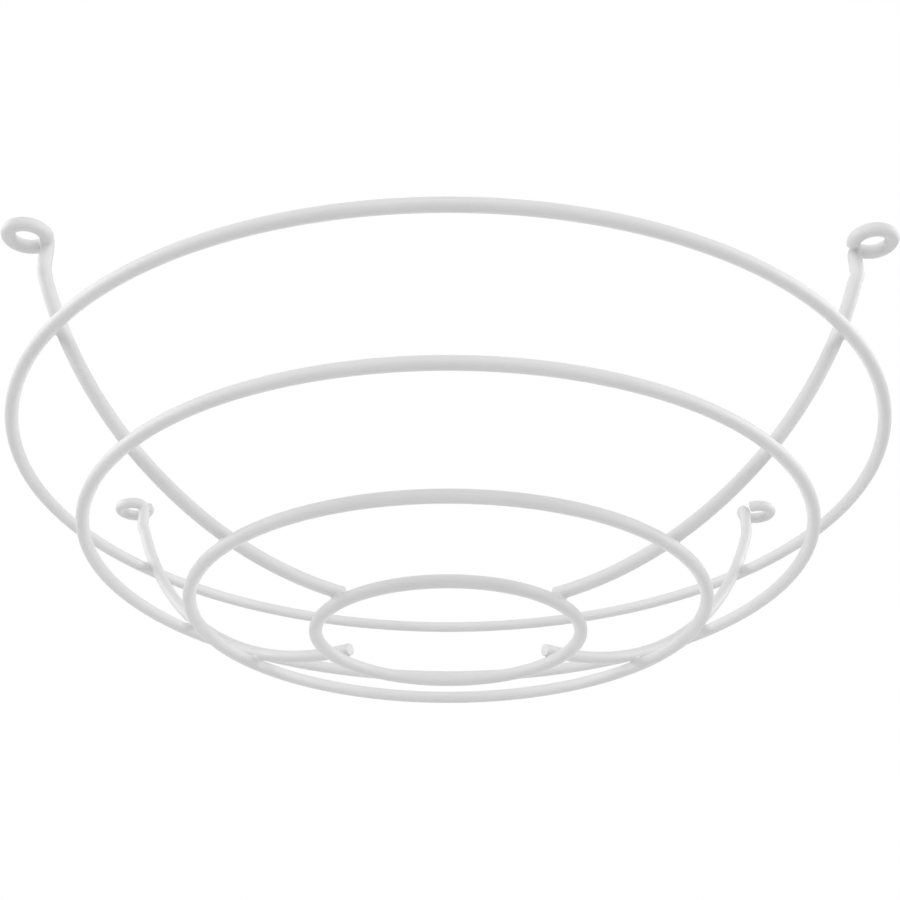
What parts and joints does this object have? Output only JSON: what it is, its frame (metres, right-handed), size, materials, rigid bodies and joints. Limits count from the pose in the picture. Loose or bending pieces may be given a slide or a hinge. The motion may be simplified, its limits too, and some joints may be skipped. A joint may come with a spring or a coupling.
{
  "type": "bulb cage guard",
  "caption": "Shallow dish-shaped bulb cage guard of welded round wire: graded hoops on bent ribs that end in open screw eyelets",
  "frame": {"origin": "on the dish's centre line, level with the lowest point of the smallest hoop", "axes": "+Z along the dish's centre line, towards the mounting surface; +X to the right of the picture, midway between the two ribs of a side; +Y away from the camera"},
  "size_m": [0.3045, 0.3046, 0.0975],
  "materials": {
    "white_coat": "satin white powder coat on steel wire"
  },
  "bodies": {
    "root": {"outer_hoop": "white_coat", "upper_hoop": "white_coat", "lower_hoop": "white_coat", "centre_hoop": "white_coat", "rib_front_left": "white_coat", "rib_front_right": "white_coat", "rib_back_left": "white_coat", "rib_back_right": "white_coat"}
  },
  "joints": []
}
